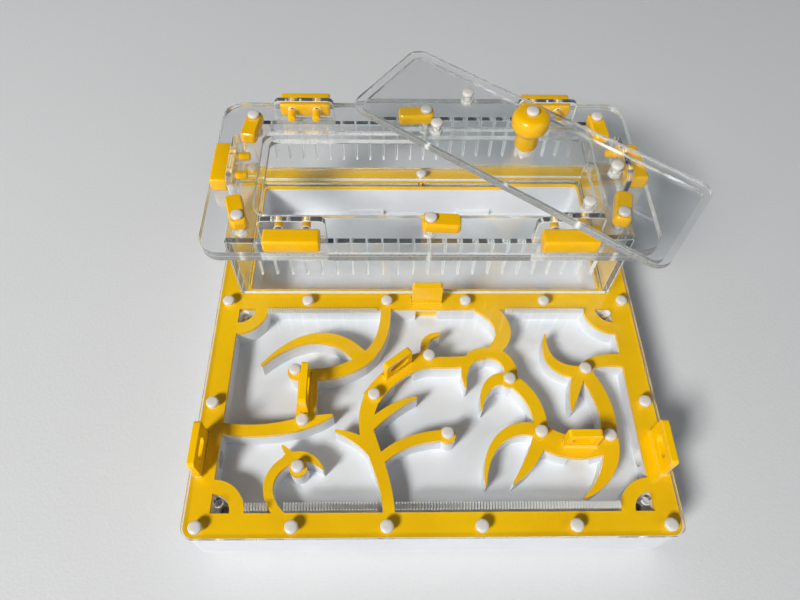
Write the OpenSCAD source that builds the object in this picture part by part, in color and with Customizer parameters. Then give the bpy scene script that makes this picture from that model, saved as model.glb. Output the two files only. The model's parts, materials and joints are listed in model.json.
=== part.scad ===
// Ant habitat: a shallow nest under a clear screwed cover, and a clear lidded box behind it.
// Frame: +Z up, +X right, +Y to the back. The origin is the middle of the underside.

/* [Base] */
// Width and depth of the clear nest cover
deck_w = 210; // [206:1:220]
// Corner radius of the cover
deck_r = 5; // [4:0.5:9]
// Thickness of the white bottom plate
plate_t = 3; // [2:0.5:4]
// Height of the white body above the bottom plate
body_h = 22; // [20:0.5:30]
// How far the white body and its yellow cap sit inside the cover's edge
body_inset = 0.5; // [0.2:0.1:1.5]
// How far the bottom plate sits inside the white body's edge
plate_inset = 1.2; // [0.5:0.1:2]
// Width of the yellow border round the nest
border_w = 10.7; // [9.5:0.1:12]
// Thickness of the yellow cap on all walls
cap_t = 2; // [1:0.5:3]
// Thickness of the clear cover
cover_t = 3; // [2:0.5:5]

/* [Nest] */
// From the nest's back edge to the box, under the second row of screws
row_gap = 7.8; // [7.4:0.1:9]
// Height of the nest walls without their cap
wall_h = 9; // [7:0.5:12]
// Thickness of the nest floor
floor_t = 3; // [2:0.5:4]
// Outer radius of the rounded corner pads
pad_r = 14.3; // [12:0.1:17]
// Radius of the watering windows in the corner pads
window_r = 8.3; // [7:0.1:10]
// Diameter of the watering holes
water_d = 4; // [3:0.5:5]
// Width of the doors through the nest walls
door_w = 11; // [8:0.2:11.4]
// Height of the doors
door_h = 8.2; // [6:0.1:8.5]
// Length of one vent slit in the cover
comb_len = 2.8; // [2:0.2:4]
// Width of one vent slit in the cover
comb_w = 0.5; // [0.3:0.1:0.6]
// Distance from one vent slit to the next
comb_pitch = 1.25; // [1.1:0.05:2]
// Thickness of the sponge under the nest floor
sponge_t = 8; // [4:0.5:10]

/* [Arena] */
// How far the arena pocket's sides stand inside the box
arena_side = 4; // [3:0.5:8]
// How far the arena pocket's front and back stand inside the box
arena_front = 5; // [4:0.5:9]
// Thickness of the arena floor
arena_floor_t = 2; // [1.5:0.5:4]
// Corner radius of the arena pocket
arena_r = 3; // [2:0.5:4]
// Height of the two sills on the arena's back wall
sill_h = 3; // [2:0.5:5]

/* [Box] */
// How far the box's sides stand inside the cover's edge
box_side = 11; // [10:0.5:12]
// How far the box's back stands inside the cover's edge
box_behind = 9; // [8:0.5:12]
// Depth of the clear box
box_d = 81; // [79:1:82]
// Height of the box walls up to the rim
box_h = 39; // [34:1:60]
// Thickness of every clear sheet of the box
sheet_t = 3; // [2.5:0.5:3.5]
// How far the rim stands out past the box at its sides
rim_side = 10.7; // [9.5:0.1:12]
// How far the rim stands out past the box at its front and back
rim_front = 9; // [8.5:0.1:11]
// How far the rim sits behind the middle of the box
rim_back = 1; // [0:0.1:1.5]
// Corner radius of the rim
rim_r = 10; // [6:1:14]
// From the box's side to the opening in the rim's upper sheet
mouth_side = 11.3; // [11.2:0.1:15]
// From the box's front or back to that opening
mouth_front = 12.3; // [12:0.1:14.5]
// Corner radius of that opening
mouth_r = 7.5; // [5:0.5:10]
// Width of the ledge that carries the closed lid
ledge_w = 3; // [2:0.5:3.5]
// Width of one air slit in the box walls
slit_w = 0.8; // [0.5:0.1:1.2]
// Length of one air slit
slit_len = 22; // [12:1:26]
// Distance from one air slit to the next
slit_pitch = 7.3; // [6:0.1:7.4]
// Width of the tabs that rise through the rim
tab_w = 30; // [28:0.5:32]
// Height of the tabs above the rim
tab_h = 11.7; // [10.5:0.1:14]
// From the box's side to the middle of the tabs on its long walls
tab_in = 32; // [26:0.5:40]

/* [Keys and latches] */
// Length of a key block
key_l = 25.4; // [22:0.2:28]
// Depth of a key block
key_d = 8.4; // [6:0.1:9]
// Height of a key block
key_h = 7.4; // [7:0.1:10]
// Diameter of a key's pegs
peg_d = 4; // [3:0.1:4.4]
// Distance between the two pegs of a key
peg_gap = 12.4; // [10:0.2:14]
// Length of the pegs
peg_l = 8.3; // [7:0.1:10]
// How far the two front keys stand drawn out
key_out = 0; // [0:0.1:4]
// Length of a latch
latch_l = 18; // [16:0.5:20]
// Width of a latch
latch_w = 8; // [7:0.1:8]
// Thickness of a latch
latch_t = 5.4; // [4:0.1:6.5]
// From a latch's pivot to its near end
latch_heel = 4; // [3.5:0.1:5]
// Radius of a latch's corners
latch_r = 2.2; // [1:0.1:3]
// How far the corner latches stand further in than the middle ones
corner_in = 1.2; // [0:0.1:2]

/* [Gates] */
// Length of a long gate plate
gate_long = 20; // [18:0.5:21]
// Length of a short gate plate
gate_short = 15; // [14:0.5:16]
// Thickness of a gate plate
gate_t = 3.2; // [2.5:0.1:3.4]
// Height of a gate plate above the cover
gate_up = 12; // [9:0.5:16]
// Width of the finger slot in a gate
grip_w = 10; // [8:0.2:11]
// Height of the finger slot in a gate
grip_h = 5.4; // [4.8:0.1:6]

/* [Lid] */
// Turn of the loose lid on the box, in degrees
lid_turn = -37; // [-42:1:-34]
// Place of the loose lid's middle to the right, as a share of the box's width
lid_share = 0.237; // [0.225:0.001:0.255]
// Diameter of the knob
knob_d = 17; // [14:0.5:20]
// Diameter of the knob's stem
stem_d = 10.6; // [9:0.2:12]
// Height of the knob
knob_h = 18.8; // [16:0.1:24]

/* [Fasteners] */
// Diameter of the nylon screws
screw_d = 3; // [2.5:0.1:3]
// Diameter of a screw head
head_d = 5.7; // [5.4:0.1:6.5]
// Height of a screw head
head_h = 1.8; // [1.6:0.1:3]
// Width across the flats of a nut
nut_w = 5.5; // [5:0.1:5.8]
// Height of a nut
nut_h = 2.4; // [2:0.1:2.6]
// Length of the screws in the border
border_screw_l = 12; // [10:1:14]
// Length of the screws in the nest walls
nest_screw_l = 10; // [8:1:11]
// How deep a screw hole goes past its screw's end
hole_past = 3; // [1:0.5:4]
// From the cover's front edge to the front row of screws
front_in = 4.4; // [4.2:0.1:6]
// From the cover's sides to the screws beside them
side_in = 5.3; // [4.2:0.1:6]
// How far the ends of the front row stand further in than the side screws
front_end_in = 1; // [0:0.1:2]
// Outer diameter of a free-standing screw boss
boss_d = 7.8; // [7:0.2:9]
// Outer diameter of a boss on a nest wall
boss_small = 6.6; // [6:0.2:8]

/* [Clearances] */
// Gap between pieces that slide past or rest on each other
slide_gap = 0.3; // [0.25:0.05:0.4]
// Radial clearance of pins in their bores
pin_gap = 0.05; // [0.03:0.01:0.1]
// Radial clearance of screws in their holes
hole_gap = 0.15; // [0.1:0.05:0.3]
// Clearance round the closed lid in the rim
lid_gap = 0.3; // [0.2:0.1:0.6]
// Thin gap between a clear sheet and the piece that lies on it or under it
seat_gap = 0.1; // [0.05:0.05:0.2]
// Clearance between the nuts and the walls or tabs beside them
nut_gap = 0.32; // [0.25:0.01:0.6]

/* [Hidden] */
$fn = 64;
YELLOW = "gold";
WHITE = "white";
CLEAR = [0.85, 0.92, 0.95, 0.35];

// heights
floor_top = plate_t + body_h - wall_h;
cap_z = plate_t + body_h;
cover_z = cap_z + cap_t + seat_gap;
deck_z = cover_z + cover_t;
arena_z = plate_t + arena_floor_t;
wall_z = deck_z + seat_gap;
rim_z = wall_z + box_h + seat_gap;
rim_top = rim_z + 2 * sheet_t + seat_gap;
tab_top = rim_top + tab_h;
lid_z = tab_top + slide_gap;
lid_top = lid_z + 2 * sheet_t + seat_gap;
washer_t = 0.5;
latch_z = rim_top + seat_gap + washer_t + slide_gap;
latch_grip = latch_z - rim_z + latch_t + slide_gap;
key_z = rim_top + slide_gap;
peg_z = key_z + key_h - 1.2 - peg_d / 2;

// the box in the plan
edge = deck_w / 2;
box_w = deck_w - 2 * box_side;
box_y = edge - box_behind - box_d / 2;
box_front = box_y - box_d / 2;
box_back = box_y + box_d / 2;
tab_x = box_w / 2 - tab_in;
slit_n = floor((box_w / 2 - 12) / slit_pitch);
rim_w = box_w + 2 * rim_side;
rim_d = box_d + 2 * rim_front;
rim_y = box_y + rim_back;
mouth_w = box_w - 2 * mouth_side;
mouth_d = box_d - 2 * mouth_front;

// the nest and the arena in the plan
body_w = deck_w - 2 * body_inset;
half = body_w / 2;
plate_w = body_w - 2 * plate_inset;
nest_x = edge - border_w;
nest_front = -nest_x;
nest_back = box_front - row_gap;
nest_d = nest_back - nest_front;
arena_w = box_w - 2 * arena_side;
arena_d = box_d - 2 * arena_front;
arena_y = box_y - arena_d / 2;
arena_back = box_y + arena_d / 2;
screw_edge = edge - side_in;
row_y = nest_back + 3.3;
side_y = (row_y - edge + front_in) / 2;

// the latches and the loose lid in the plan
nut_r = nut_w / 2 / cos(30);
pivot_x = box_w / 2 - sheet_t - 4;
pivot_y = box_d / 2 - sheet_t - nut_r - nut_gap;
lid_w = mouth_w - 2 * lid_gap;
lid_d = mouth_d - 2 * lid_gap;
lid_screw_x = lid_w / 4 - 0.6;
lid_screw_y = lid_d / 4 - 0.4;
lid_reach = lid_screw_y * cos(lid_turn) - lid_screw_x * sin(lid_turn);
lid_x = lid_share * box_w;
lid_y = box_front + sheet_t + nut_w / 2 + nut_gap + lid_reach;

// ---- the growing pattern of the nest walls ----

// A vine is a curve of four control points with its width at the start and at the tip.
function bend(p, t) = pow(1 - t, 3) * p[0] + 3 * pow(1 - t, 2) * t * p[1]
    + 3 * (1 - t) * t * t * p[2] + t * t * t * p[3];
function slope(p, t) = let (d = pow(1 - t, 2) * (p[1] - p[0]) + 2 * (1 - t) * t * (p[2] - p[1])
    + t * t * (p[3] - p[2])) d / norm(d);
function side(p, w, t, s) = let (d = slope(p, t), h = s * (w[0] + (w[1] - w[0]) * t * t) / 2)
    bend(p, t) + h * [-d[1], d[0]];

// The vines are drawn for a nest 188.6 wide and 101.5 deep, and grow with the real one.
function across(x) = x * nest_x / 94.3;
function place(q) = [across(q[0]), nest_front + (q[1] + 94.3) * nest_d / 101.5];
function places(list) = [for (q = list) place(q)];

module vine(drawn, w, steps = 14) {
    p = places(drawn);
    left = [for (i = [0:steps]) side(p, w, i / steps, 1)];
    right = [for (i = [steps:-1:0]) side(p, w, i / steps, -1)];
    polygon(concat(left, right));
}

VINE_TIP = 0.8;

// places of the nylon screws on the vines
LEFT_SCREWS = places([[-63.2, -28.3], [-58.1, -53.6], [-58.6, -75]]);
MIDDLE_SCREWS = places([[-25.8, -41.1], [0.4, -20.8], [7.5, -60.1]]);
RIGHT_SCREWS = places([[38.1, -33.1], [49.8, -59.4], [74.9, -27.9], [80.5, -61.4]]);

// gates in the nest: middle, turn and length
function gate_at(q, turn, w) = [q[0], q[1], turn, w];
EAR_Y = place([0, -68.8])[1];
GATE_LEFT = gate_at(place([-57.3, -39.7]), 90, gate_long);
GATE_MIDDLE = gate_at(place([-14.8, -27.2]), 38, gate_short);
GATE_RIGHT = gate_at(place([66.8, -64.2]), 0, gate_short);
GATE_ENTRY = gate_at([0.3, row_y + 0.9], 0, gate_short);
GATE_EAR_L = gate_at([-(edge - 3.7), EAR_Y], 90, gate_long);
GATE_EAR_R = gate_at([edge - 3.7, EAR_Y], 90, gate_long);
GATES = [GATE_LEFT, GATE_MIDDLE, GATE_RIGHT, GATE_ENTRY, GATE_EAR_L, GATE_EAR_R];

module strokes(h) {
    for (i = [0:$children - 1]) linear_extrude(h) children(i);
}

module bosses(list, d, h) {
    for (p = list) translate(p) cylinder(d = d, h = h);
}

module vines_left(h) {
    bosses([LEFT_SCREWS[0], LEFT_SCREWS[2]], boss_d, h);
    strokes(h) {
        vine([[-20.4, 9], [-20.2, -6], [-23.5, -16], [-32, -22.5]], [5, 6]);
        vine([[-31.5, -22], [-41, -29], [-52, -31], [-63.2, -28.3]], [6, 5.5]);
        vine([[-31, -22], [-43, -6], [-62, -4], [-80.1, -24.7]], [7, VINE_TIP]);
        vine([[-96, -56.2], [-85, -58.2], [-74, -58.2], [-61.2, -55]], [5.2, 6]);
        vine([[-62.5, -55.3], [-56, -53.6], [-50, -52.2], [-44.6, -50.1]], [6, VINE_TIP]);
        vine([[-57.4, -29], [-57, -38], [-56.6, -46], [-57.6, -55]], [9, 9]);
        vine([[-64, -96], [-73.5, -88], [-74, -76], [-61, -70]], [4, 4.6]);
        vine([[-64.5, -71.6], [-58.5, -67.6], [-52, -69.6], [-47.7, -75.3]], [4.8, VINE_TIP]);
        vine([[-61.5, -70], [-63, -68.5], [-65, -66.6], [-66.5, -64.6]], [3.4, VINE_TIP]);
    }
}

module vines_middle(h) {
    bosses([MIDDLE_SCREWS[2]], boss_d, h);
    strokes(h) {
        vine([[-18.9, -96], [-19, -84], [-24, -72], [-28.4, -60]], [5, 6.5]);
        vine([[-28.2, -63], [-29.8, -55], [-30, -48], [-25.8, -40]], [6.5, 8]);
        vine([[-24.8, -69], [-30, -63], [-36, -59.5], [-43.3, -57.6]], [5, VINE_TIP]);
        vine([[-28, -56], [-21, -49], [-14, -44], [-5.8, -41.5]], [5, VINE_TIP]);
        vine([[-24.5, -73], [-16, -64], [-6, -60.5], [7.5, -60.1]], [4.6, 5]);
        vine([[-27, -42], [-22, -33], [-11, -22.5], [1, -21.6]], [8.6, 8.6]);
        vine([[-1, -20], [-3, -12.5], [0, -8.2], [6.3, -7.6]], [4, 1.8]);
        vine([[0, -23], [6, -23.3], [13, -23.3], [20, -22.6]], [5.6, 5.6]);
        vine([[27.5, -18.4], [20.5, -18.5], [15.5, -25], [17.6, -36.5]], [6, VINE_TIP]);
        vine([[26, -18.4], [34, -16.5], [39.6, -21.5], [39.6, -28.9]], [5.4, 6]);
        vine([[27, 10], [37, 4], [44, -8], [31, -18]], [8.4, 6.4]);
    }
}

module vines_right(h) {
    bosses(RIGHT_SCREWS, boss_small, h);
    strokes(h) {
        vine([[39.6, -28.9], [39.6, -31], [39, -32], [38, -34]], [6, 6]);
        vine([[38.6, -32.2], [31, -30.4], [25, -36], [24.1, -47.7]], [6, VINE_TIP]);
        vine([[38, -31.8], [46, -36.5], [51.5, -46], [50.5, -58.5]], [6, 6]);
        vine([[51, -58.7], [40, -53.5], [24, -60], [23.1, -82.9]], [6, VINE_TIP]);
        vine([[50.5, -59], [47, -69], [41, -77], [35.3, -82.1]], [6.5, VINE_TIP]);
        vine([[49.5, -59.5], [57, -67.2], [72, -68.2], [80.8, -61.4]], [10.5, 10.5]);
        vine([[80.5, -61.4], [84, -50], [80.5, -38], [74.9, -27.9]], [7, 6.4]);
        vine([[73.5, -28], [79, -22], [86, -21.5], [96, -22.4]], [5, 7]);
        vine([[76, -28.4], [63, -29.8], [55, -22], [58.8, -7.8]], [6, VINE_TIP]);
        vine([[73.4, -27], [70, -35], [67.5, -41], [66.4, -47.8]], [6, VINE_TIP]);
        vine([[81, -60.5], [82, -72], [76, -82], [65.1, -88.8]], [7.4, VINE_TIP]);
    }
}

// ---- plan outlines ----

module rounded(w, d, r) {
    translate([-w / 2 + r, -d / 2]) square([w - 2 * r, d]);
    translate([-w / 2, -d / 2 + r]) square([w, d - 2 * r]);
    for (sx = [-1, 1], sy = [-1, 1])
        translate([sx * (w / 2 - r), sy * (d / 2 - r)]) circle(r = r);
}

module nest_field() {
    translate([-nest_x, nest_front]) square([2 * nest_x, nest_d]);
}

// the four nest corners, each a place and the signs that point into the nest
CORNERS = [[-nest_x, nest_front, 1, 1], [nest_x, nest_front, -1, 1],
    [-nest_x, nest_back, 1, -1], [nest_x, nest_back, -1, -1]];

// a quarter disc at every nest corner
module quarter_discs(r) {
    for (c = CORNERS) translate([c[0], c[1]]) intersection() {
        circle(r = r);
        translate([c[2] > 0 ? 0 : -r, c[3] > 0 ? 0 : -r]) square(r);
    }
}

module free_field() {
    difference() {
        nest_field();
        quarter_discs(pad_r);
    }
}

// the vines trimmed to the free part of the nest, as a slab of height h
module trimmed(h) {
    intersection() {
        children();
        linear_extrude(h) free_field();
    }
}

module border_plan() {
    difference() {
        rounded(body_w, body_w, deck_r);
        nest_field();
        translate([0, box_y]) rounded(arena_w, arena_d, arena_r);
    }
}

module pads_plan() {
    difference() {
        quarter_discs(pad_r);
        quarter_discs(window_r);
    }
}

function water_places() = [for (c = CORNERS) [c[0] + 3.4 * c[2], c[1] + 4.2 * c[3]]];

function row(n, reach) = [for (i = [0:n - 1]) -reach + i * 2 * reach / (n - 1)];
BORDER_PLACES = concat([for (x = row(6, screw_edge - front_end_in)) [x, front_in - edge]],
    [for (x = row(6, screw_edge)) [x, row_y]],
    [for (x = [-screw_edge, screw_edge]) [x, side_y]],
    [for (x = [-screw_edge, 0, screw_edge]) [x, screw_edge]]);
BORDER_HOLE = border_screw_l - cover_t - cap_t + hole_past;
NEST_HOLE = nest_screw_l - cover_t - cap_t + hole_past / 2;
NEST_PLACES = concat(LEFT_SCREWS, MIDDLE_SCREWS, RIGHT_SCREWS);

module holes_plan(spots, d) {
    for (p = spots) translate(p) circle(d = d);
}

// the hole of a gate through cover, cap and wall
module gate_plan(g, gap) {
    translate([g[0], g[1]]) rotate(g[2]) square([g[3] + 2 * gap, gate_t + 2 * gap], center = true);
}

// ---- fasteners ----

// A domed screw from under its head down; its head stands on z.
module screw(p, z, l) {
    dome = head_h * 0.45;
    translate([p[0], p[1], z]) {
        translate([0, 0, -l]) cylinder(d = screw_d, h = l + 0.2);
        rotate_extrude() polygon(concat([[0, 0], [head_d / 2, 0], [head_d / 2, head_h - dome]],
            [for (a = [15:15:75]) [head_d / 2 * cos(a), head_h - dome + dome * sin(a)]],
            [[0, head_h]]));
    }
}

// A hexagonal nut under z, turned on its screw.
module nut(p, z, turn = 0) {
    translate([p[0], p[1], z - nut_h]) difference() {
        rotate(turn) cylinder(d = nut_w / cos(30), h = nut_h, $fn = 6);
        translate([0, 0, -1]) cylinder(d = screw_d + 2 * hole_gap, h = nut_h + 2);
    }
}

// ---- base ----

module base_plate() {
    color(WHITE) linear_extrude(plate_t)
        rounded(plate_w, plate_w, deck_r);
}

// the passage of a door across the wall that a gate stands in
module door(g, reach) {
    translate([g[0], g[1], floor_top]) rotate(g[2])
        translate([-door_w / 2, -reach, 0]) cube([door_w, 2 * reach, door_h]);
}

module screw_holes(x0, x1, y0, y1) {
    for (p = BORDER_PLACES) if (p[0] > x0 && p[0] < x1 && p[1] > y0 && p[1] < y1)
        translate([p[0], p[1], cap_z - BORDER_HOLE])
            cylinder(d = screw_d + 2 * hole_gap, h = BORDER_HOLE + 1);
}

module gate_slot(g) {
    translate([0, 0, floor_top]) linear_extrude(wall_h + 1) gate_plan(g, slide_gap);
}

// the white walls between x0 and x1 and between y0 and y1
module body_part(x0, x1, y0, y1) {
    intersection() {
        translate([0, 0, plate_t]) linear_extrude(body_h) rounded(body_w, body_w, deck_r);
        translate([x0, y0, plate_t]) cube([x1 - x0, y1 - y0, body_h]);
    }
}

module body_front() {
    color(WHITE) difference() {
        body_part(-half, half, -half, nest_front);
        screw_holes(-half, half, -half, nest_front);
    }
}

module body_back() {
    color(WHITE) difference() {
        body_part(-half, half, arena_back, half);
        screw_holes(-half, half, arena_back, half);
    }
}

// s is -1 for the left wall and 1 for the right one
module body_side(s, g) {
    inner = min(arena_w / 2 - arena_r, nest_x);
    color(WHITE) difference() {
        union() {
            body_part(min(s * half, s * nest_x), max(s * half, s * nest_x), nest_front, arena_back);
            body_part(min(s * half, s * inner), max(s * half, s * inner), arena_y, arena_back);
        }
        translate([0, box_y, plate_t - 1]) linear_extrude(body_h + 2)
            rounded(arena_w, arena_d, arena_r);
        screw_holes(min(s * half, s * nest_x), max(s * half, s * nest_x), nest_front, arena_back);
        gate_slot(g);
        translate([g[0], g[1], floor_top + door_h / 2 + 0.3]) rotate([0, 90, 0])
            cylinder(d = door_h, h = 30, center = true);
    }
}

module body_left() { body_side(-1, GATE_EAR_L); }
module body_right() { body_side(1, GATE_EAR_R); }

// the wall between the nest and the arena, with the entry door
module body_middle() {
    color(WHITE) difference() {
        body_part(-nest_x, nest_x, nest_back, arena_y);
        screw_holes(-nest_x, nest_x, nest_back, arena_y);
        gate_slot(GATE_ENTRY);
        door(GATE_ENTRY, 12);
    }
}

module nest_floor() {
    color(WHITE) difference() {
        translate([-nest_x, nest_front, floor_top - floor_t]) cube([2 * nest_x, nest_d, floor_t]);
        for (p = water_places())
            translate([p[0], p[1], floor_top - floor_t - 1]) cylinder(d = water_d, h = floor_t + 2);
    }
}

module corner_pads() {
    color(WHITE) translate([0, 0, floor_top]) linear_extrude(wall_h) pads_plan();
}

module arena_floor() {
    sill_x = arena_w / 2 - 58;
    color(WHITE) {
        translate([0, box_y, plate_t]) linear_extrude(arena_floor_t) rounded(arena_w, arena_d, arena_r);
        for (s = [-1, 1]) translate([s * sill_x - 10, arena_back - 2, arena_z - 0.5])
            cube([20, 2, sill_h + 0.5]);
    }
}

module sponge() {
    gap = 1;
    color("khaki") translate([-nest_x + gap, nest_front + gap, plate_t])
        cube([2 * nest_x - 2 * gap, nest_d - 2 * gap, sponge_t]);
}

module walls(g, spots) {
    color(WHITE) difference() {
        translate([0, 0, floor_top]) trimmed(wall_h) children();
        translate([0, 0, floor_top - 1]) linear_extrude(wall_h + 2) gate_plan(g, slide_gap);
        translate([0, 0, -0.01]) door(g, 10);
        for (p = spots) translate([p[0], p[1], cap_z - NEST_HOLE])
            cylinder(d = screw_d + 2 * hole_gap, h = NEST_HOLE + 1);
    }
}

module walls_left() { walls(GATE_LEFT, LEFT_SCREWS) vines_left(wall_h); }
module walls_middle() { walls(GATE_MIDDLE, MIDDLE_SCREWS) vines_middle(wall_h); }
module walls_right() { walls(GATE_RIGHT, RIGHT_SCREWS) vines_right(wall_h); }

module cap(g, spots) {
    color(YELLOW) difference() {
        translate([0, 0, cap_z]) trimmed(cap_t) children();
        translate([0, 0, cap_z - 1]) linear_extrude(cap_t + 2) gate_plan(g, slide_gap);
        for (p = spots) translate([p[0], p[1], cap_z - 1])
            cylinder(d = screw_d + 2 * hole_gap, h = cap_t + 2);
    }
}

module cap_left() { cap(GATE_LEFT, LEFT_SCREWS) vines_left(cap_t); }
module cap_middle() { cap(GATE_MIDDLE, MIDDLE_SCREWS) vines_middle(cap_t); }
module cap_right() { cap(GATE_RIGHT, RIGHT_SCREWS) vines_right(cap_t); }

module border_cap() {
    color(YELLOW) translate([0, 0, cap_z]) linear_extrude(cap_t) difference() {
        union() {
            border_plan();
            pads_plan();
        }
        for (g = [GATE_ENTRY, GATE_EAR_L, GATE_EAR_R]) gate_plan(g, slide_gap);
        holes_plan(BORDER_PLACES, screw_d + 2 * hole_gap);
    }
}

// one row of vent slits from x0 to x1
module comb(x0, x1, y) {
    n = floor((x1 - x0) / comb_pitch);
    for (i = [0:n]) translate([x0 + i * comb_pitch, y])
        square([comb_w, comb_len], center = true);
}

module cover() {
    comb_y = comb_len / 2 + 1;
    color(CLEAR) translate([0, 0, cover_z]) linear_extrude(cover_t) difference() {
        rounded(deck_w, deck_w, deck_r);
        translate([0, box_y]) rounded(arena_w + 1, arena_d + 1, arena_r);
        for (g = GATES) gate_plan(g, slide_gap);
        holes_plan(concat(BORDER_PLACES, NEST_PLACES), screw_d + 2 * hole_gap);
        holes_plan(water_places(), water_d);
        comb(-nest_x + pad_r + 0.7, across(-69.5), nest_front + comb_y);
        comb(across(-63), across(-23.5), nest_front + comb_y);
        comb(across(-15.8), nest_x - pad_r - 0.7, nest_front + comb_y);
        comb(-nest_x + pad_r + 0.7, across(-24.5), nest_back - comb_y);
        comb(across(40.5), nest_x - pad_r - 0.7, nest_back - comb_y);
    }
}

module border_screws() {
    color("whitesmoke") for (p = BORDER_PLACES) screw(p, deck_z + seat_gap, border_screw_l);
}

module nest_screws() {
    color("whitesmoke") for (p = NEST_PLACES) screw(p, deck_z + seat_gap, nest_screw_l);
}

// ---- box ----

// One side sheet with its tabs, drawn flat: x along the wall, y up from the cover.
module tab(x) {
    r = 3;
    h = tab_top - wall_z - box_h;
    translate([x, box_h + h / 2 - 2]) rounded(tab_w, h + 4, r);
}

module peg_holes(x) {
    for (s = [-1, 1]) translate([x + s * peg_gap / 2, peg_z - wall_z])
        circle(d = peg_d + 2 * pin_gap);
}

// a long wall of the box with its air slits, open at the top except under a tab
module long_wall() {
    difference() {
        union() {
            translate([-box_w / 2, 0]) square([box_w, box_h]);
            for (s = [-1, 1]) tab(s * tab_x);
        }
        for (s = [-1, 1]) peg_holes(s * tab_x);
        for (i = [-slit_n:slit_n]) {
            x = i * slit_pitch;
            closed = abs(abs(x) - tab_x) < tab_w / 2 + slit_w + 1 ? 4 : -1;
            translate([x - slit_w / 2, box_h - slit_len]) square([slit_w, slit_len - closed]);
        }
    }
}

module short_wall() {
    inner = box_d - 2 * sheet_t - 2 * seat_gap;
    difference() {
        union() {
            translate([-inner / 2, 0]) square([inner, box_h]);
            tab(0);
        }
        peg_holes(0);
    }
}

module stand(x, y, turn) {
    translate([x, y, wall_z]) rotate(turn) rotate([90, 0, 0])
        linear_extrude(sheet_t) children();
}

module box_front() { color(CLEAR) stand(0, box_front + sheet_t, 0) long_wall(); }
module box_back() { color(CLEAR) stand(0, box_back, 0) long_wall(); }
module box_left() { color(CLEAR) stand(-box_w / 2 + sheet_t, box_y, -90) short_wall(); }
module box_right() { color(CLEAR) stand(box_w / 2 - sheet_t, box_y, 90) short_wall(); }

corner_y = pivot_y - corner_in;
PIVOTS = [[-pivot_x, -corner_y], [0, -pivot_y], [pivot_x, -corner_y],
    [-pivot_x, corner_y], [0, pivot_y], [pivot_x, corner_y]];
function pivot(i) = [PIVOTS[i][0], box_y + PIVOTS[i][1]];

module rim(opening_w, opening_d, opening_r) {
    w = tab_w + 0.3;
    t = sheet_t + 2 * seat_gap;
    linear_extrude(sheet_t) difference() {
        translate([0, rim_y]) rounded(rim_w, rim_d, rim_r);
        translate([0, rim_y]) rounded(opening_w, opening_d, opening_r);
        for (sx = [-1, 1], sy = [-1, 1])
            translate([sx * tab_x, box_y + sy * (box_d - sheet_t) / 2]) square([w, t], center = true);
        for (s = [-1, 1]) translate([s * (box_w - sheet_t) / 2, box_y]) square([t, w], center = true);
        for (i = [0:5]) translate(pivot(i)) circle(d = screw_d + 2 * hole_gap);
    }
}

module rim_lower() {
    color(CLEAR) translate([0, 0, rim_z])
        rim(mouth_w - 2 * ledge_w, mouth_d - 2 * ledge_w, mouth_r - ledge_w);
}

module rim_upper() {
    color(CLEAR) translate([0, 0, rim_top - sheet_t]) rim(mouth_w, mouth_d, mouth_r);
}

// ---- keys ----

// A key stands outside a tab at (x, y); its pegs point along +Y before the turn.
module key(x, y, turn, out) {
    c = 1.2;
    color(YELLOW) translate([x, y, 0]) rotate(turn) translate([0, -slide_gap - out, 0]) {
        translate([-key_l / 2, 0, key_z]) rotate([90, 0, 90]) linear_extrude(key_l)
            polygon([[0, 0], [-key_d + c, 0], [-key_d, c], [-key_d, key_h - c],
                [-key_d + c, key_h], [0, key_h]]);
        for (s = [-1, 1]) translate([s * peg_gap / 2, -0.5, peg_z]) rotate([-90, 0, 0])
            cylinder(d = peg_d, h = peg_l + 0.5);
    }
}

module key_front_left() { key(-tab_x, box_front, 0, key_out); }
module key_front_right() { key(tab_x, box_front, 0, key_out); }
module key_back_left() { key(-tab_x, box_back, 180, 0); }
module key_back_right() { key(tab_x, box_back, 180, 0); }
module key_left() { key(-box_w / 2, box_y, -90, 0); }
module key_right() { key(box_w / 2, box_y, 90, 0); }

// ---- latches ----

// The arm points along +X before the turn; the pivot is the origin.
module latch(i, turn) {
    color(YELLOW) translate([pivot(i)[0], pivot(i)[1], latch_z]) rotate(turn)
        linear_extrude(latch_t) difference() {
            translate([latch_l / 2 - latch_heel, 0]) rounded(latch_l, latch_w, latch_r);
            circle(d = screw_d + 2 * pin_gap);
        }
}

module latch_front_left() { latch(0, 107); }
module latch_front_middle() { latch(1, -3); }
module latch_front_right() { latch(2, 77); }
module latch_back_left() { latch(3, -98); }
module latch_back_middle() { latch(4, 183); }
module latch_back_right() { latch(5, -86); }

module latch_screws() {
    color("whitesmoke") for (i = [0:5])
        screw(pivot(i), rim_z + latch_grip, latch_grip + nut_h + 1);
}

module latch_washers() {
    color("whitesmoke") for (i = [0:5]) translate([pivot(i)[0], pivot(i)[1], rim_top + seat_gap])
        difference() {
            cylinder(d = head_d, h = washer_t);
            translate([0, 0, -1]) cylinder(d = screw_d + 2 * hole_gap, h = 3);
        }
}

module latch_nuts() {
    color("whitesmoke") for (i = [0:5]) nut(pivot(i), rim_z - seat_gap, 30);
}

// ---- lid ----

module lid_place() {
    translate([lid_x, lid_y, 0]) rotate(lid_turn) children();
}

LID_PLACES = [for (sx = [-1, 1], sy = [-1, 1]) [sx * lid_screw_x, sy * lid_screw_y]];

module lid_sheet(inset, r) {
    linear_extrude(sheet_t) difference() {
        rounded(lid_w - 2 * inset, lid_d - 2 * inset, r);
        holes_plan(concat(LID_PLACES, [[0, 0]]), screw_d + 2 * hole_gap);
    }
}

module lid_plate() {
    color(CLEAR) lid_place() translate([0, 0, lid_top - sheet_t]) lid_sheet(0, mouth_r - lid_gap);
}

module lid_plug() {
    color(CLEAR) lid_place() translate([0, 0, lid_z])
        lid_sheet(ledge_w + lid_gap, mouth_r - ledge_w);
}

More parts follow.
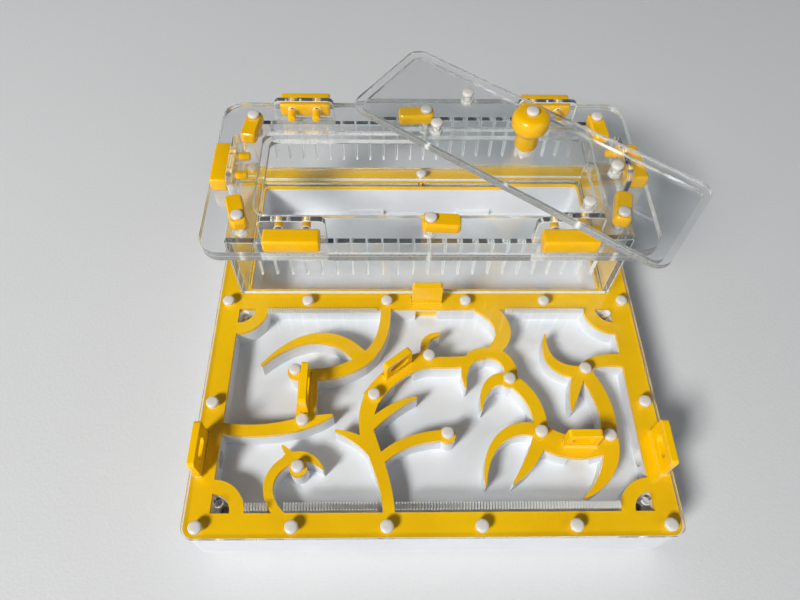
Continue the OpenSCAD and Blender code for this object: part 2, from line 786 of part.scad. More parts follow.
module lid_screws() {
    color("whitesmoke") lid_place() for (p = LID_PLACES)
        screw(p, lid_top + seat_gap, 2 * sheet_t + nut_h);
}

module lid_nuts() {
    color("whitesmoke") lid_place() for (p = concat(LID_PLACES, [[0, 0]]))
        nut(p, lid_z - seat_gap, -lid_turn);
}

module knob() {
    neck = knob_h * 0.4;
    round = knob_d * 0.16;
    flat = knob_d / 2 - round;
    crown = knob_h * 0.18;
    low = [for (a = [-60:15:0]) [flat + round * cos(a), knob_h * 0.7 + round * sin(a)]];
    top = [for (a = [0:15:90]) [flat + round * cos(a), knob_h - crown + crown * sin(a)]];
    color(YELLOW) lid_place() translate([0, 0, lid_top + seat_gap]) difference() {
        rotate_extrude() polygon(concat([[0, 0], [stem_d / 2 - 0.6, 0], [stem_d / 2, 0.6],
            [stem_d / 2, neck]], low, top, [[0, knob_h]]));
        translate([0, 0, -1]) cylinder(d = screw_d + 2 * hole_gap, h = knob_h + 2);
    }
}

module knob_screw() {
    color("whitesmoke") lid_place() screw([0, 0], lid_top + 2 * seat_gap + knob_h, knob_h + 2 * sheet_t + 5);
}

// ---- gates ----

// A gate plate from just above the nest floor to its top, with a round-ended slot at z.
module gate(g, up, slot_z) {
    h = deck_z + up - floor_top - slide_gap;
    c = 1;
    w = g[3];
    color(YELLOW) translate([g[0], g[1], floor_top + slide_gap]) rotate(g[2])
        translate([0, gate_t / 2, 0]) rotate([90, 0, 0]) linear_extrude(gate_t) difference() {
            polygon([[-w / 2, 0], [w / 2, 0], [w / 2, h - c], [w / 2 - c, h],
                [-w / 2 + c, h], [-w / 2, h - c]]);
            translate([0, slot_z - floor_top - slide_gap]) rounded(grip_w, grip_h, grip_h / 2 - 0.05);
        }
}

module gate_entry() { gate(GATE_ENTRY, gate_up + 1, floor_top + 3.5 + grip_h / 2); }
module gate_left() { gate(GATE_EAR_L, gate_up + 1, deck_z + 6.2); }
module gate_right() { gate(GATE_EAR_R, gate_up + 1, deck_z + 6.2); }
module gate_nest_left() { gate(GATE_LEFT, gate_up, deck_z + 5.7); }
module gate_nest_middle() { gate(GATE_MIDDLE, gate_up - 1.5, deck_z + 5); }
module gate_nest_right() { gate(GATE_RIGHT, gate_up - 1.5, deck_z + 5); }

base_plate();
body_front();
body_left();
body_right();
body_back();
body_middle();
nest_floor();
corner_pads();
arena_floor();
sponge();
walls_left();
walls_middle();
walls_right();
border_cap();
cap_left();
cap_middle();
cap_right();
cover();
border_screws();
nest_screws();
box_front();
box_back();
box_left();
box_right();
rim_lower();
rim_upper();
key_front_left();
key_front_right();
key_back_left();
key_back_right();
key_left();
key_right();
latch_front_left();
latch_front_middle();
latch_front_right();
latch_back_left();
latch_back_middle();
latch_back_right();
latch_screws();
latch_washers();
latch_nuts();
lid_plate();
lid_plug();
lid_screws();
lid_nuts();
knob();
knob_screw();
gate_entry();
gate_left();
gate_right();
gate_nest_left();
gate_nest_middle();
gate_nest_right();
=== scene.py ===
"""Dresses the ant habitat's CAD frame in finished surfaces, rounded edges and real fasteners."""

import json
import math

import bmesh
import bpy
from bpy.props import FloatProperty, FloatVectorProperty, IntProperty, PointerProperty
from mathutils import Matrix, Vector


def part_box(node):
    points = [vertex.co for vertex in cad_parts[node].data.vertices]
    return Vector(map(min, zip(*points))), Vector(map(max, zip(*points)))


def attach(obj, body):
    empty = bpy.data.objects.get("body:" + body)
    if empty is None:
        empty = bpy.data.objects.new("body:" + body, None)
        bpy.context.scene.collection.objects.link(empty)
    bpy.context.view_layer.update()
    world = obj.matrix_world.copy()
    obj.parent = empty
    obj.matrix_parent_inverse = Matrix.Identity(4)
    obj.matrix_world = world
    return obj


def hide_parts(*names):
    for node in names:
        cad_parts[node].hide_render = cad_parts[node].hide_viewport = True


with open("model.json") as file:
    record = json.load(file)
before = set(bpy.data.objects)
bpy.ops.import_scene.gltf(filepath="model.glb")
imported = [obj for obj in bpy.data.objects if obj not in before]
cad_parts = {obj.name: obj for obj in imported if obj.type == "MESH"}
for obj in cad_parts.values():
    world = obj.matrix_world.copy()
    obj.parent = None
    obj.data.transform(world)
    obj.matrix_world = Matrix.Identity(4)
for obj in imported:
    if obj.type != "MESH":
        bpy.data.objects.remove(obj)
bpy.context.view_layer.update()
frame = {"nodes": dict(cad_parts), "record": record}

bl_info = {
    "name": "Ant habitat",
    "version": (1, 0, 0),
    "blender": (4, 5, 0),
    "location": "3D View > Sidebar > Habitat",
    "description": "Builds the finished look of a covered ant nest with a lidded feeding box",
    "category": "Object",
}

SLOT = {row["node"]: row["material_slot"] for row in frame["record"]["subparts"]}
BODY_OF = {node: body for body, nodes in frame["record"]["behaviour"]["bodies"].items()
           for node in nodes}

MM = 0.001
FLAT_SHEETS = ("cover", "rim_lower", "rim_upper", "lid_plate", "lid_plug")
LONG_SHEETS = ("box_front", "box_back")
SHORT_SHEETS = ("box_left", "box_right")
BODY_PARTS = ("body_front", "body_left", "body_right", "body_back", "body_middle",
              "nest_floor", "corner_pads", "arena_floor")
KEYS = tuple(node for node in SLOT if node.startswith("key_"))
LATCHES = tuple(node for node in SLOT
                if node.startswith("latch_") and SLOT[node] == "yellow_plastic")
GATES = tuple(node for node in SLOT if node.startswith("gate_"))
CAPS = ("border_cap", "cap_left", "cap_middle", "cap_right")
WALLS = ("walls_left", "walls_middle", "walls_right")
OUTWARD = {"front": Vector((0, -1, 0)), "back": Vector((0, 1, 0)),
           "left": Vector((-1, 0, 0)), "right": Vector((1, 0, 0))}
FINISHES = {}

# Places on the clear sheets, in the frame's axes.
COMB_FRONT = (-93.6 * MM, -90.2 * MM)  # the front row of vent slits, along Y
COMB_BACK = (3.2 * MM, 6.6 * MM)       # the back row of vent slits, along Y
COMB_END = 93 * MM                     # both rows end here, along X
COVER_EDGE = 100 * MM                  # the cover's outer edges lie beyond this
SLIT_END = 92 * MM                     # the air slits end here, along X
SLIT_TOP = 68.6 * MM                   # the top of the air slits
FADE = 0.4 * MM                        # over which a mask goes from 0 to 1

# Meshes.
WELD = 0.002 * MM            # corners nearer than this are one
SHARP = math.radians(32)     # an edge that bends more than this is a real one
BLOCK_SHARP = math.radians(40)
FLAT = math.radians(0.6)     # faces that bend less than this are one

# Screws, nuts and washers.
SCREW_RADIUS = 1.5 * MM
CORE_RADIUS = 1.2 * MM       # a short screw's plain shaft below its thread
SHORT_SCREW = 16 * MM        # screws shorter than this have a thread near the head only
SHORT_THREAD = 9 * MM
HEAD_OVERLAP = 0.05 * MM     # how far a thread reaches into the head
CORE_OVERLAP = 0.1 * MM      # how far a plain shaft reaches into the thread
HEAD_FOOT = 0.22 * MM        # rounding under the head
HEAD_STEPS = 8
THREAD_STEPS = 20
SHAFT_STEPS = 16
NUT_STEPS = 48
NUT_CUT = 0.3 * MM           # chamfer of the nuts
BORE = 1.62 * MM             # bore of the nuts and the knob
WASHER_EDGE = 0.1 * MM

# Keys, gates, latches, knob and sponge.
PEG_DROP = 1.2 * MM          # from the top of a key to its pegs
PEG_ROOT = 0.5 * MM          # how far a peg reaches into the block
PEG_TIP = (                  # a peg's rounded tip: in from its side and back from its end
    (0.0, 0.5 * MM), (0.15 * MM, 0.15 * MM), (0.5 * MM, 0.0))
PEG_STEPS = 32
GATE_EDGE_SHARE = 1.6        # the gates' edges are rounder than the sheets'
LATCH_BORE = 1.56 * MM
LATCH_STEPS = 12             # faces round each corner of a latch
LATCH_LEVELS = (             # inset in millimetres and share of the height
    (0.45, 0.0), (0.12, 0.04), (0.0, 0.12), (0.0, 0.66), (0.12, 0.80), (0.42, 0.93), (0.85, 1.0))
STEM_PROFILE = (             # inset in millimetres and share of the height, up to the cone
    (0.6, 0.0), (0.18, 0.010), (0.0, 0.032), (0.0, 0.37), (-0.25, 0.405))
CROWN_PROFILE = (            # the same for the knob's crown, from its cone to its flat top
    (1.1, 0.545), (0.35, 0.585), (0.05, 0.635), (0.0, 0.69), (0.0, 0.80), (0.12, 0.85),
    (0.5, 0.90), (1.2, 0.945), (2.2, 0.975), (3.6, 0.993), (5.0, 1.0))
SPONGE_EDGE = 0.6 * MM

# The studio: each lamp's name, place, aim, size, power and colour.
LAMPS = (("key", (-1.26, -1.32, 1.66), (0.0, 0.0, 0.02), 0.62, 64, (1.0, 0.985, 0.955)),
         ("fill", (1.7, -1.6, 2.3), (0.0, 0.0, 0.03), 2.6, 15, (0.95, 0.97, 1.0)))
SKY_TINT = (0.88, 0.95, 1.05)
SKY_STOPS = ((0.02, 0.60), (0.40, 0.045))  # height and grey
CAMERA_PLACE = (-0.01924, -0.16582, 0.30332)
CAMERA_PITCH, CAMERA_YAW, CAMERA_ROLL = (math.radians(angle) for angle in (57.06, 1.95, 1.63))
CAMERA_SENSOR = 36
CAMERA_NEAR = 0.01
FLOOR_LEVEL = -0.2 * MM


# ---- sizes and colours that a user may change ----

class HabitatSizes(bpy.types.PropertyGroup):
    edge: FloatProperty(name="Sheet edge", description="Rounding of the cut edges of the sheets",
                        default=0.32 * MM, min=0.05 * MM, max=0.6 * MM, unit="LENGTH")
    block_edge: FloatProperty(name="Block edge", description="Rounding of the keys' edges",
                              default=1.3 * MM, min=0.2 * MM, max=1.6 * MM, unit="LENGTH")
    key_depth: FloatProperty(name="Key depth", description="Depth of a key without its pegs",
                             default=8.4 * MM, min=6 * MM, max=9 * MM, unit="LENGTH")
    peg: FloatProperty(name="Peg", description="Diameter of a key's pegs",
                       default=4 * MM, min=3 * MM, max=4.4 * MM, unit="LENGTH")
    peg_gap: FloatProperty(name="Peg distance", description="Distance between a key's two pegs",
                           default=12.4 * MM, min=10 * MM, max=14 * MM, unit="LENGTH")
    latch_heel: FloatProperty(name="Latch heel", description="From its pivot to its near end",
                              default=4 * MM, min=3.5 * MM, max=5 * MM, unit="LENGTH")
    latch_length: FloatProperty(name="Latch length", description="Length of a latch",
                                default=18 * MM, min=16 * MM, max=20 * MM, unit="LENGTH")
    latch_width: FloatProperty(name="Latch width", description="Width of a latch",
                               default=8 * MM, min=7 * MM, max=8 * MM, unit="LENGTH")
    latch_corner: FloatProperty(name="Latch corner", description="Radius of a latch's corners",
                                default=2.4 * MM, min=1 * MM, max=3 * MM, unit="LENGTH")
    body_edge: FloatProperty(name="Body edge", description="Rounding of the white body's edges",
                             default=0.5 * MM, min=0.1 * MM, max=1 * MM, unit="LENGTH")
    pitch: FloatProperty(name="Thread pitch", description="Pitch of the nylon screws",
                         default=0.5 * MM, min=0.35 * MM, max=0.8 * MM, unit="LENGTH")
    thread_depth: FloatProperty(name="Thread depth", description="Depth of the screw thread",
                                default=0.28 * MM, min=0.1 * MM, max=0.35 * MM, unit="LENGTH")
    head_height: FloatProperty(name="Head height", description="Height of the screws' domed heads",
                               default=1.8 * MM, min=1 * MM, max=2.4 * MM, unit="LENGTH")
    stem: FloatProperty(name="Knob stem", description="Diameter of the knob's stem",
                        default=10.6 * MM, min=8 * MM, max=12 * MM, unit="LENGTH")
    round_steps: IntProperty(name="Round steps", description="Faces round a lathed piece",
                             default=48, min=16, max=96)
    focal: FloatProperty(name="Focal length", description="Focal length of the camera",
                         default=28.8, min=20, max=85, subtype="NONE")
    floor_reach: FloatProperty(name="Floor radius", description="How far the studio floor reaches",
                               default=3.0, min=1, max=10, unit="LENGTH")


class HabitatColours(bpy.types.PropertyGroup):
    sheet: FloatVectorProperty(name="Yellow sheet", description="Colour of the cap and the gates",
                               subtype="COLOR", default=(1.0, 0.55, 0.0), min=0, max=1)
    plastic: FloatVectorProperty(name="Yellow plastic",
                                 description="Colour of keys, latches and knob",
                                 subtype="COLOR", default=(0.90, 0.485, 0.0), min=0, max=1)
    body: FloatVectorProperty(name="White body", description="Colour of the white body",
                              subtype="COLOR", default=(0.74, 0.757, 0.79), min=0, max=1)
    nylon: FloatVectorProperty(name="Nylon", description="Colour of the screws and nuts",
                               subtype="COLOR", default=(0.69, 0.665, 0.625), min=0, max=1)
    clear: FloatVectorProperty(name="Clear sheet", description="Tint of the clear sheets",
                               subtype="COLOR", default=(0.985, 0.995, 1.0), min=0, max=1)
    # The cut-edge colour also paints the white painted highlight on the clear sheets' rounded
    # corners
    cut: FloatVectorProperty(name="Cut edge", description="Colour of the cut clear edges",
                             subtype="COLOR", default=(0.88, 0.92, 0.93), min=0, max=1)
    sponge: FloatVectorProperty(name="Sponge", description="Colour of the sponge",
                                subtype="COLOR", default=(0.75, 0.62, 0.25), min=0, max=1)
    floor: FloatVectorProperty(name="Floor", description="Colour of the studio floor",
                               subtype="COLOR", default=(0.68, 0.69, 0.705), min=0, max=1)


# ---- shader expressions ----

class Val:
    """A socket that adds Math nodes when it stands in an expression."""

    def __init__(self, nodes, socket):
        self.nodes, self.socket = nodes, socket

    def _math(self, operation, *values):
        return self.nodes.node("Math", {"operation": operation}, dict(enumerate(values)))["Value"]

    def __add__(self, other):
        return self._math("ADD", self, other)

    def __sub__(self, other):
        return self._math("SUBTRACT", self, other)

    def __mul__(self, other):
        return self._math("MULTIPLY", self, other)

    def __abs__(self):
        return self._math("ABSOLUTE", self)

    def __radd__(self, other):
        return self._math("ADD", other, self)

    def __rsub__(self, other):
        return self._math("SUBTRACT", other, self)

    def __rmul__(self, other):
        return self._math("MULTIPLY", other, self)

    def over(self, low, high):
        """0 below low and 1 above high, smooth in between."""
        values = {0: self, 1: low, 2: high, 3: 0.0, 4: 1.0}
        return self.nodes.node("MapRange", {"interpolation_type": "SMOOTHSTEP"}, values)["Result"]

    def larger(self, other):
        """The larger of two values."""
        return self._math("MAXIMUM", self, other)


class Made:
    """A node that was added; its outputs are read by name or number."""

    def __init__(self, nodes, made):
        self.nodes, self.made = nodes, made

    def __getitem__(self, name):
        return Val(self.nodes, self.made.outputs[name])


class Nodes:
    """A node tree that is filled one node at a time."""

    def __init__(self, tree):
        self.tree = tree
        tree.nodes.clear()

    def node(self, kind, settings=None, sockets=None):
        """Adds a node: its settings come first, then the values or links of its sockets."""
        node = self.tree.nodes.new(kind if "Node" in kind else "ShaderNode" + kind)
        for name, value in (settings or {}).items():
            if name == "ramp":
                node.color_ramp.interpolation, stops = value
                for stop, (place, colour) in zip(node.color_ramp.elements, stops):
                    stop.position, stop.color = place, colour
            else:
                setattr(node, name, value)
        for name, value in (sockets or {}).items():
            if isinstance(value, Val):
                self.tree.links.new(value.socket, node.inputs[name])
            else:
                node.inputs[name].default_value = value
        return Made(self, node)


class Finish(Nodes):
    """A material whose nodes are added with expressions."""

    def __init__(self, name):
        self.material = bpy.data.materials.new(name)
        self.material.use_nodes = True
        super().__init__(self.material.node_tree)

    def point(self, stretch=(1, 1, 1)):
        """The place on the piece, in metres, stretched along its axes."""
        place = self.node("TexCoord")["Object"]
        return self.node("VectorMath", {"operation": "MULTIPLY"}, {0: place, 1: stretch})["Vector"]

    def noise(self, scale, detail=2.0, rough=0.5, stretch=(1, 1, 1)):
        """Soft noise from 0 to 1 in the piece's own space."""
        values = {"Vector": self.point(stretch), "Scale": scale,
                  "Detail": detail, "Roughness": rough}
        return self.node("TexNoise", None, values)["Fac"]

    def mix(self, factor, first, second):
        """A colour between two colours."""
        return self.node("Mix", {"data_type": "RGBA"}, {0: factor, 6: first, 7: second})[2]

    def bump(self, height, depth):
        """A normal that stands depth metres high where height is 1."""
        return self.node("Bump", None, {"Height": height, "Distance": depth})["Normal"]

    def principled(self, **values):
        """The surface shader; an underscore in a socket's name stands for a space."""
        sockets = {name.replace("_", " "): value for name, value in values.items()}
        return self.node("BsdfPrincipled", None, sockets)["BSDF"]

    def blend(self, factor, first, second):
        """A shader between two shaders."""
        return self.node("MixShader", None, {0: factor, 1: first, 2: second})["Shader"]

    def done(self, surface):
        """The finished material."""
        self.node("OutputMaterial", None, {"Surface": surface})
        return self.material


def shade(colour, share):
    """A colour made darker or lighter by a share."""
    return tuple(min(1.0, c * share) for c in colour[:3]) + (1.0,)


def towards(colour, other, share):
    """A colour moved towards another by a share."""
    return tuple(c + (o - c) * share for c, o in zip(colour[:3], other)) + (1.0,)


def gloss_yellow(name, colour, rough, grain):
    """Yellow plastic: slow drifts of colour, fine scuffs and a faint orange peel."""
    f = Finish(name)
    drift = f.noise(28, 3, 0.55)
    speck = f.noise(1500, 2, 0.6)
    scuff = f.noise(260, 3, 0.6, (1, 9, 1)).over(0.58, 0.74)
    tone = f.mix(drift.over(0.3, 0.7), shade(colour, 0.93), shade(colour, 1.06))
    base = f.mix(speck.over(0.62, 0.80) * 0.25, tone, towards(colour, (1, 0.75, 0.15), 0.35))
    peel = f.noise(420, 2, 0.5) * 0.7 + speck * 0.3
    return f.done(f.principled(
        Base_Color=base, Roughness=rough + drift * 0.05 + scuff * 0.14,
        Normal=f.bump(peel, grain), IOR=1.49, Coat_Weight=0.1, Coat_Roughness=0.05))


def satin_white(name, colour):
    """Moulded white plastic: faint mottling, fine grain and faint warm streaks at random."""
    f = Finish(name)
    cloud = f.noise(22, 4, 0.6)
    grain = f.noise(2600, 2, 0.6)
    flow = f.noise(95, 3, 0.55, (1, 1, 3))
    tone = f.mix(cloud.over(0.32, 0.68), shade(colour, 0.955), shade(colour, 1.03))
    base = f.mix(flow.over(0.55, 0.75) * 0.25, tone, towards(colour, (0.74, 0.72, 0.66), 0.5))
    return f.done(f.principled(
        Base_Color=base, Roughness=0.42 + cloud * 0.12 + grain * 0.06,
        Normal=f.bump(grain * 0.6 + flow * 0.4, 0.06 * MM), IOR=1.46))


def nylon_white(name, colour):
    """Milky nylon: a slightly waxy surface with fine mould marks."""
    f = Finish(name)
    cloud = f.noise(160, 3, 0.6)
    grain = f.noise(3200, 2, 0.5)
    base = f.mix(cloud.over(0.35, 0.7), shade(colour, 0.95), shade(colour, 1.05))
    return f.done(f.principled(
        Base_Color=base, Roughness=0.26 + cloud * 0.14 + grain * 0.05,
        Normal=f.bump(cloud * 0.6 + grain * 0.4, 0.04 * MM), IOR=1.53))


def open_foam(name, colour):
    """Sponge: open pore holes of two sizes, each painted darker in its middle as painted shade."""
    f = Finish(name)
    cells = f.node("TexVoronoi", None, {"Vector": f.point(), "Scale": 900.0})["Distance"]
    large = f.node("TexVoronoi", None, {"Vector": f.point(), "Scale": 310.0})["Distance"]
    # Painted shade: each pore is darker towards its middle, where its bump is lowest
    pore_depth_and_painted_shade = cells.over(0.1, 0.6) * 0.5 + large.over(0.05, 0.5) * 0.5
    base = f.mix(pore_depth_and_painted_shade, shade(colour, 0.55), shade(colour, 1.1))
    return f.done(f.principled(
        Base_Color=base, Roughness=0.9, Normal=f.bump(pore_depth_and_painted_shade, 0.6 * MM), IOR=1.4))


def clear_sheet(name, tint, cut, axis, haze, where=None, frosted=None):
    """Polished clear sheet. Its cut faces, square to its thickness axis, are milky by a share of
    haze, and their rounded corners are painted nearly white as a painted highlight; where(f)
    limits both to some edges, and what frosted(f) gives as 1, such as a row of fine slits, looks
    frosted."""
    f = Finish(name)
    clear = f.principled(Base_Color=tuple(tint) + (1.0,), Roughness=0.012, IOR=1.49,
                         Transmission_Weight=1.0)
    # milky serves the frosted cut faces and the slits, and also paints the corners' white painted
    # highlight
    milky = f.principled(Base_Color=tuple(cut) + (1.0,), Roughness=0.3, IOR=1.49)
    open_way = f.node("BsdfTransparent", None, {"Color": (0.98, 0.988, 0.99, 1.0)})["BSDF"]
    normal = f.node("NewGeometry")["Normal"]
    along = abs(f.node("SeparateXYZ", None, {0: normal})["XYZ"[axis]])
    edge = 1 - along.over(0.35, 0.8)
    # Painted highlight: the rounded corners between cut face and flat face are painted nearly
    # white
    corner = along.over(0.12, 0.3) * (1 - along.over(0.9, 0.985))
    saw = f.noise(1400, 2, 0.6)
    # share: the cut faces' own milkiness, or the painted corner highlight where that is larger
    share = (edge * haze * (0.5 + saw)).larger(corner * (0.75 + saw * 0.4))
    if where:
        share = share * where(f)
    if frosted:
        share = share.larger(edge * frosted(f) * 0.92)
    dust = f.noise(2200, 2, 0.7).over(0.74, 0.86) * 0.04
    solid = f.blend(share.larger(dust), clear, milky)
    path = f.node("LightPath")
    way = path["Is Shadow Ray"].larger(path["Is Diffuse Ray"])
    return f.done(f.blend(way * (1 - edge * 0.3), solid, open_way))


def between(value, low, high):
    """1 where a value lies between two bounds."""
    return value.over(low - FADE, low) * (1 - value.over(high, high + FADE))


def comb_rows(f):
    """1 on the two rows of vent slits in the cover."""
    place = f.node("SeparateXYZ", None, {0: f.point()})
    rows = between(place["Y"], *COMB_FRONT).larger(between(place["Y"], *COMB_BACK))
    return rows * (1 - abs(place["X"]).over(COMB_END, COMB_END + 1 * MM))


def outer_edge(f):
    """1 on the outermost edges of the cover, 0.15 elsewhere."""
    place = f.node("SeparateXYZ", None, {0: f.point()})
    far = abs(place["X"]).larger(abs(place["Y"]))
    return 0.15 + far.over(COVER_EDGE, COVER_EDGE + 2 * MM) * 0.85


def air_slits(f):
    """1 on the faces of the air slits below the rim."""
    place = f.node("SeparateXYZ", None, {0: f.point()})
    inside = 1 - abs(place["X"]).over(SLIT_END, SLIT_END + 1 * MM)
    return inside * (1 - place["Z"].over(SLIT_TOP, SLIT_TOP + FADE))


def finishes(colours):
    """Every material of the habitat, made once."""
    tint, cut = colours.clear, colours.cut
    if not FINISHES:
        FINISHES.update(
            yellow_acrylic=gloss_yellow("glossy_yellow_sheet", colours.sheet,
                                        rough=0.10, grain=0.02 * MM),
            yellow_plastic=gloss_yellow("yellow_plastic_blocks", colours.plastic,
                                        rough=0.20, grain=0.05 * MM),
            white_body=satin_white("satin_white", colours.body),
            white_nylon=nylon_white("milky_nylon", colours.nylon),
            sponge_foam=open_foam("open_sponge", colours.sponge),
            clear_short=clear_sheet("clear_short_walls", tint, cut, axis=0, haze=0.12),
            clear_long=clear_sheet("clear_long_walls", tint, cut, axis=1, haze=0.12,
                                   frosted=air_slits),
            clear_flat=clear_sheet("clear_flat_sheets", tint, cut, axis=2, haze=0.3),
            clear_cover=clear_sheet("clear_cover", tint, cut, axis=2, haze=0.2,
                                    where=outer_edge, frosted=comb_rows))
    return FINISHES


def material_for(node):
    """The finish that a CAD node's pieces wear."""
    names = finishes(bpy.context.scene.habitat_colours)
    if node == "cover":
        return names["clear_cover"]
    if node in FLAT_SHEETS:
        return names["clear_flat"]
    if node in LONG_SHEETS:
        return names["clear_long"]
    if node in SHORT_SHEETS:
        return names["clear_short"]
    return names[SLOT[node]]


# ---- shapes ----

def clean_normals():
    """A modifier group that joins a piece's split corners and shades it smooth up to its sharp
    edges."""
    name = "clean_normals"
    if name in bpy.data.node_groups:
        return bpy.data.node_groups[name]
    group = bpy.data.node_groups.new(name, "GeometryNodeTree")
    for way in ("INPUT", "OUTPUT"):
        group.interface.new_socket("Geometry", in_out=way, socket_type="NodeSocketGeometry")
    g = Nodes(group)
    shape = g.node("NodeGroupInput")[0]
    shape = g.node("GeometryNodeMergeByDistance", None, {"Geometry": shape, "Distance": WELD})[0]
    shape = g.node("GeometryNodeRemoveAttribute", None,
                   {"Geometry": shape, "Name": "custom_normal"})[0]
    shape = g.node("GeometryNodeSetShadeSmooth", {"domain": "FACE"}, {"Geometry": shape})[0]
    bend = g.node("GeometryNodeInputMeshEdgeAngle")["Unsigned Angle"]
    sharp = g.node("FunctionNodeCompare", {"operation": "GREATER_THAN"}, {0: bend, 1: SHARP})[0]
    shape = g.node("GeometryNodeSetShadeSmooth", {"domain": "EDGE"},
                   {"Geometry": shape, "Selection": sharp, "Shade Smooth": False})[0]
    g.node("NodeGroupOutput", None, {0: shape})
    return group


def soften(piece, width, segments=2):
    """Shades a piece by its real edges and, with a width, rounds them."""
    piece.modifiers.new("clean", "NODES").node_group = clean_normals()
    if width:
        flat = piece.modifiers.new("flat faces", "DECIMATE")
        flat.decimate_type = "DISSOLVE"
        flat.angle_limit = FLAT
        bevel = piece.modifiers.new("edges", "BEVEL")
        bevel.width = width
        bevel.segments = segments
        bevel.limit_method = "ANGLE"
        bevel.angle_limit = SHARP
        bevel.harden_normals = True
        bevel.use_clamp_overlap = True


def wear(piece, material):
    """Gives a piece its one material."""
    piece.data.materials.clear()
    piece.data.materials.append(material)


def dress(nodes, width, segments=2):
    """Gives CAD nodes their material and rounded edges."""
    for node in nodes:
        piece = frame["nodes"][node]
        wear(piece, material_for(node))
        soften(piece, width, segments)


def add_piece(name, mesh, material, body):
    """A new piece that rides a body."""
    piece = bpy.data.objects.new(name, mesh)
    bpy.context.scene.collection.objects.link(piece)
    wear(piece, material)
    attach(piece, body)
    return piece


def placed(node):
    """A CAD node's mesh at its own place, with its split corners joined."""
    bm = bmesh.new()
    bm.from_mesh(frame["nodes"][node].data)
    bmesh.ops.transform(bm, matrix=frame["nodes"][node].matrix_world, verts=bm.verts)
    bmesh.ops.remove_doubles(bm, verts=bm.verts, dist=WELD)
    return bm


def solids_of(node):
    """A CAD node's separate solids: lowest and highest corner, and the angle and distance of the
    point furthest from the middle."""
    bm = placed(node)
    seen, found = set(), []
    for start in bm.verts:
        if start in seen:
            continue
        todo, part = [start], []
        seen.add(start)
        while todo:
            vert = todo.pop()
            part.append(vert.co.copy())
            for edge in vert.link_edges:
                other = edge.other_vert(vert)
                if other not in seen:
                    seen.add(other)
                    todo.append(other)
        low = Vector([min(co[i] for co in part) for i in range(3)])
        high = Vector([max(co[i] for co in part) for i in range(3)])
        middle = (low + high) / 2
        far = max(part, key=lambda co: (co.xy - middle.xy).length)
        turn = math.atan2(far.y - middle.y, far.x - middle.x)
        found.append((low, high, turn, (far.xy - middle.xy).length))
    bm.free()
    return sorted(found, key=lambda row: (round(row[0].y, 4), round(row[0].x, 4)))


def band(bm, one, two):
    """Faces between two rings of equally many corners."""
    for i in range(len(one)):
        j = (i + 1) % len(one)
        bm.faces.new((one[i], one[j], two[j], two[i]))


def lathe(bm, centre, profile, steps):
    """Turns a profile of (radius, height) round a vertical axis."""
    rings = []
    for radius, height in profile:
        if radius <= 0:
            rings.append([bm.verts.new((centre.x, centre.y, height))])
            continue
        ring = []
        for i in range(steps):
            a = 2 * math.pi * i / steps
            ring.append(bm.verts.new((centre.x + radius * math.cos(a),
                                      centre.y + radius * math.sin(a), height)))
        rings.append(ring)
    for one, two in zip(rings, rings[1:]):
        if len(one) == len(two):
            band(bm, one, two)
            continue
        for i in range(steps):
            j = (i + 1) % steps
            bm.faces.new((one[0], two[j], two[i]) if len(one) == 1 else (one[i], one[j], two[0]))


def thread(bm, centre, low, high, radius, sizes):
    """A screw thread from low to high. Its crests are flat for a fifth of the pitch, and its
    last 0.6 turns taper to 0.9 of its radius."""
    pitch, depth = sizes.pitch, sizes.thread_depth
    rows = max(4, int((high - low) / pitch * 4))
    rings = []
    for k in range(rows + 1):
        z = low + (high - low) * k / rows
        ring = []
        for i in range(THREAD_STEPS):
            a = 2 * math.pi * i / THREAD_STEPS
            phase = ((z - low) / pitch - i / THREAD_STEPS) % 1.0
            ridge = 1 - abs(2 * phase - 1)
            end = min(1.0, (z - low) / (0.8 * pitch) + 0.25)
            r = (radius - depth + depth * min(1.0, ridge * 1.25)) * (0.86 + 0.14 * end)
            ring.append(bm.verts.new((centre.x + r * math.cos(a),
                                      centre.y + r * math.sin(a), z)))
        rings.append(ring)
    for one, two in zip(rings, rings[1:]):
        band(bm, one, two)
    bm.faces.new(list(reversed(rings[0])))
    bm.faces.new(rings[-1])


def head_profile(radius, low, high):
    """A pan head: a rounded foot, a short side and a dome that two powers below 1 flatten."""
    side = low + (high - low) * 0.5
    wide = radius * 0.98
    points = [(0, low), (radius - HEAD_FOOT, low)]
    points += [(radius - HEAD_FOOT + HEAD_FOOT * math.sin(t),
                low + HEAD_FOOT - HEAD_FOOT * math.cos(t)) for t in (0.5, 1.0, 1.57)]
    points.append((wide, side))
    for k in range(1, HEAD_STEPS):
        a = math.pi / 2 * k / HEAD_STEPS
        points.append((wide * math.cos(a) ** 0.72, side + (high - side) * math.sin(a) ** 0.9))
    points.append((0, high))
    return points


def screws(node):
    """Domed nylon screws in place of a CAD node's plain ones."""
    sizes = bpy.context.scene.habitat_sizes
    bm = bmesh.new()
    for low, high, _, radius in solids_of(node):
        centre = (low + high) / 2
        shoulder = high.z - sizes.head_height
        lathe(bm, centre, head_profile(radius, shoulder, high.z), sizes.round_steps)
        bottom = max(low.z, shoulder - SHORT_THREAD) if high.z - low.z < SHORT_SCREW else low.z
        thread(bm, centre, bottom, shoulder + HEAD_OVERLAP, SCREW_RADIUS, sizes)
        if bottom > low.z:
            top = bottom + CORE_OVERLAP
            lathe(bm, centre, [(0, low.z), (CORE_RADIUS, low.z), (CORE_RADIUS, top), (0, top)],
                  SHAFT_STEPS)
    piece = add_piece(node + "_threaded", finished_mesh(node + "_threaded", bm),
                      material_for(node), BODY_OF[node])
    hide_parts(node)


